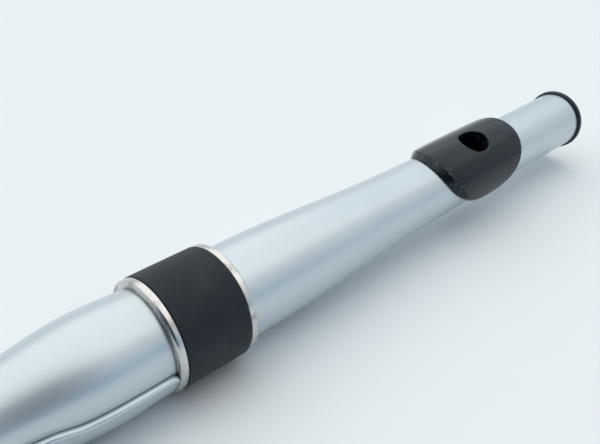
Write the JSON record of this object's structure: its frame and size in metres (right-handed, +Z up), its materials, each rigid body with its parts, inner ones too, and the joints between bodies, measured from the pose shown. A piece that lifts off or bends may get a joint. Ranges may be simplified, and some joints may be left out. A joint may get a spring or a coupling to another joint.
{
  "type": "transverse flute",
  "caption": "Moulded plastic transverse flute with an oval embouchure in a dark lip plate, rubber-sleeved barrel between metal rings, sprung keys on hinge rods and a turning foot joint.",
  "frame": {"origin": "centre of the bore's open end at the foot", "axes": "+X along the bore towards the crown, +Z up through the keys, +Y towards the player"},
  "size_m": [0.6699, 0.0483, 0.0397],
  "materials": {
    "pearl_plastic": "satin pearl silver",
    "key_plastic": "satin pearl silver",
    "smoke_plastic": "dark smoke, satin gloss",
    "crown_plastic": "dark navy, satin",
    "nickel_ring": "polished nickel",
    "grip_rubber": "matt black",
    "seal_rubber": "smooth black",
    "pad_silicone": "smooth dark silicone",
    "rod_steel": "drawn steel"
  },
  "bodies": {
    "body": {"body_tube": "pearl_plastic", "lower_shell": "pearl_plastic", "thumb_rest": "grip_rubber", "grip_sleeve": "grip_rubber", "head_ring": "nickel_ring", "body_ring": "nickel_ring", "key_posts": "pearl_plastic", "main_rod": "rod_steel", "key_springs": "rod_steel", "foot_oring": "seal_rubber"},
    "tenon_seals": {"tenon_orings": "seal_rubber"},
    "head": {"head_tube": "pearl_plastic", "lip_plate": "smoke_plastic", "crown": "crown_plastic", "head_stopper": "smoke_plastic", "stopper_seal": "seal_rubber"},
    "foot": {"foot_tube": "pearl_plastic", "foot_posts": "pearl_plastic", "foot_rod": "rod_steel", "low_c_rod": "rod_steel", "foot_springs": "rod_steel"},
    "c_sharp": {"c_sharp_key": "key_plastic", "c_sharp_pad": "pad_silicone"},
    "thumb": {"thumb_key": "key_plastic", "thumb_pad": "pad_silicone"},
    "b_flat": {"b_flat_key": "key_plastic", "b_flat_pad": "pad_silicone"},
    "a": {"a_key": "key_plastic", "a_pad": "pad_silicone"},
    "g": {"g_key": "key_plastic", "g_pad": "pad_silicone"},
    "g_sharp": {"g_sharp_key": "key_plastic", "g_sharp_pad": "pad_silicone"},
    "f_sharp": {"f_sharp_key": "key_plastic", "f_sharp_pad": "pad_silicone"},
    "f": {"f_key": "key_plastic", "f_pad": "pad_silicone"},
    "e": {"e_key": "key_plastic", "e_pad": "pad_silicone"},
    "d": {"d_key": "key_plastic", "d_pad": "pad_silicone"},
    "d_trill": {"d_trill_key": "key_plastic", "d_trill_pad": "pad_silicone", "d_trill_tube": "rod_steel", "d_trill_touch": "key_plastic"},
    "d_sharp_trill": {"d_sharp_trill_key": "key_plastic", "d_sharp_trill_pad": "pad_silicone", "trill_rod": "rod_steel", "d_sharp_touch": "key_plastic"},
    "e_flat": {"e_flat_key": "key_plastic", "e_flat_pad": "pad_silicone"},
    "low_c_sharp": {"low_c_sharp_key": "key_plastic", "low_c_sharp_pad": "pad_silicone"},
    "low_c": {"low_c_key": "key_plastic", "low_c_pad": "pad_silicone"}
  },
  "joints": [
    {"name": "tuning_slide", "type": "slide", "parent": "body", "child": "tenon_seals", "axis": [1, 0, 0], "range_m": [0, 0.012]},
    {"name": "head_turn", "type": "hinge", "parent": "tenon_seals", "child": "head", "pos_m": [0.48422, 0, 0], "axis": [1, 0, 0], "continuous": true},
    {"name": "foot_turn", "type": "hinge", "parent": "body", "child": "foot", "pos_m": [0.13643, 0, 0], "axis": [1, 0, 0], "continuous": true},
    {"name": "c_sharp_press", "type": "hinge", "parent": "body", "child": "c_sharp", "pos_m": [0.34922, 0.0153, 0.005], "axis": [1, 0, 0], "range_deg": [0, 10], "stiffness_Nm_per_rad": 0.02, "springref_deg": -8.59, "deforming": ["key_springs"]},
    {"name": "thumb_press", "type": "hinge", "parent": "body", "child": "thumb", "pos_m": [0.33066, 0.0153, 0.005], "axis": [1, 0, 0], "range_deg": [0, 10], "stiffness_Nm_per_rad": 0.02, "springref_deg": -8.59, "deforming": ["key_springs"]},
    {"name": "b_flat_press", "type": "hinge", "parent": "body", "child": "b_flat", "pos_m": [0.311, 0.0153, 0.005], "axis": [1, 0, 0], "range_deg": [0, 10], "stiffness_Nm_per_rad": 0.02, "springref_deg": -8.59},
    {"name": "a_press", "type": "hinge", "parent": "body", "child": "a", "pos_m": [0.29016, 0.0153, 0.005], "axis": [1, 0, 0], "range_deg": [0, 10], "stiffness_Nm_per_rad": 0.02, "springref_deg": -8.59, "deforming": ["key_springs"]},
    {"name": "g_press", "type": "hinge", "parent": "body", "child": "g", "pos_m": [0.2681, 0.0153, 0.005], "axis": [1, 0, 0], "range_deg": [0, 10], "stiffness_Nm_per_rad": 0.02, "springref_deg": -8.59, "deforming": ["key_springs"]},
    {"name": "g_sharp_press", "type": "hinge", "parent": "body", "child": "g_sharp", "pos_m": [0.24471, 0.0153, 0.005], "axis": [1, 0, 0], "range_deg": [-8, 0], "stiffness_Nm_per_rad": 0.02, "springref_deg": 8.59, "deforming": ["key_springs"]},
    {"name": "f_sharp_press", "type": "hinge", "parent": "body", "child": "f_sharp", "pos_m": [0.21994, 0.0153, 0.005], "axis": [1, 0, 0], "range_deg": [0, 10], "stiffness_Nm_per_rad": 0.02, "springref_deg": -8.59},
    {"name": "f_press", "type": "hinge", "parent": "body", "child": "f", "pos_m": [0.1937, 0.0153, 0.005], "axis": [1, 0, 0], "range_deg": [0, 10], "stiffness_Nm_per_rad": 0.02, "springref_deg": -8.59, "deforming": ["key_springs"]},
    {"name": "e_press", "type": "hinge", "parent": "body", "child": "e", "pos_m": [0.16589, 0.0153, 0.005], "axis": [1, 0, 0], "range_deg": [0, 10], "stiffness_Nm_per_rad": 0.02, "springref_deg": -8.59, "deforming": ["key_springs"]},
    {"name": "d_press", "type": "hinge", "parent": "body", "child": "d", "pos_m": [0.13643, 0.0153, 0.005], "axis": [1, 0, 0], "range_deg": [0, 10], "stiffness_Nm_per_rad": 0.02, "springref_deg": -8.59, "deforming": ["key_springs"]},
    {"name": "d_trill_press", "type": "hinge", "parent": "body", "child": "d_trill", "pos_m": [0.36673, 0.01795, 0.00059], "axis": [1, 0, 0], "range_deg": [-8, 0], "stiffness_Nm_per_rad": 0.02, "springref_deg": 8.59, "deforming": ["key_springs"]},
    {"name": "d_sharp_trill_press", "type": "hinge", "parent": "body", "child": "d_sharp_trill", "pos_m": [0.38327, 0.01795, 0.00059], "axis": [1, 0, 0], "range_deg": [-8, 0], "stiffness_Nm_per_rad": 0.02, "springref_deg": 8.59, "deforming": ["key_springs"]},
    {"name": "e_flat_press", "type": "hinge", "parent": "foot", "child": "e_flat", "pos_m": [0.10522, 0.0153, 0.005], "axis": [1, 0, 0], "range_deg": [-8, 0], "stiffness_Nm_per_rad": 0.02, "springref_deg": 8.59, "deforming": ["foot_springs"]},
    {"name": "low_c_sharp_press", "type": "hinge", "parent": "foot", "child": "low_c_sharp", "pos_m": [0.07215, 0.0153, 0.005], "axis": [1, 0, 0], "range_deg": [0, 10], "stiffness_Nm_per_rad": 0.02, "springref_deg": -8.59, "deforming": ["foot_springs"]},
    {"name": "low_c_press", "type": "hinge", "parent": "foot", "child": "low_c", "pos_m": [0.03712, -0.0153, 0.005], "axis": [-1, 0, 0], "range_deg": [0, 10], "stiffness_Nm_per_rad": 0.02, "springref_deg": -8.59, "deforming": ["foot_springs"]}
  ],
  "couplings": [
    {"joint": "b_flat_press", "follows": "a_press", "ratio": 1},
    {"joint": "f_sharp_press", "follows": "f_press", "ratio": 1}
  ]
}
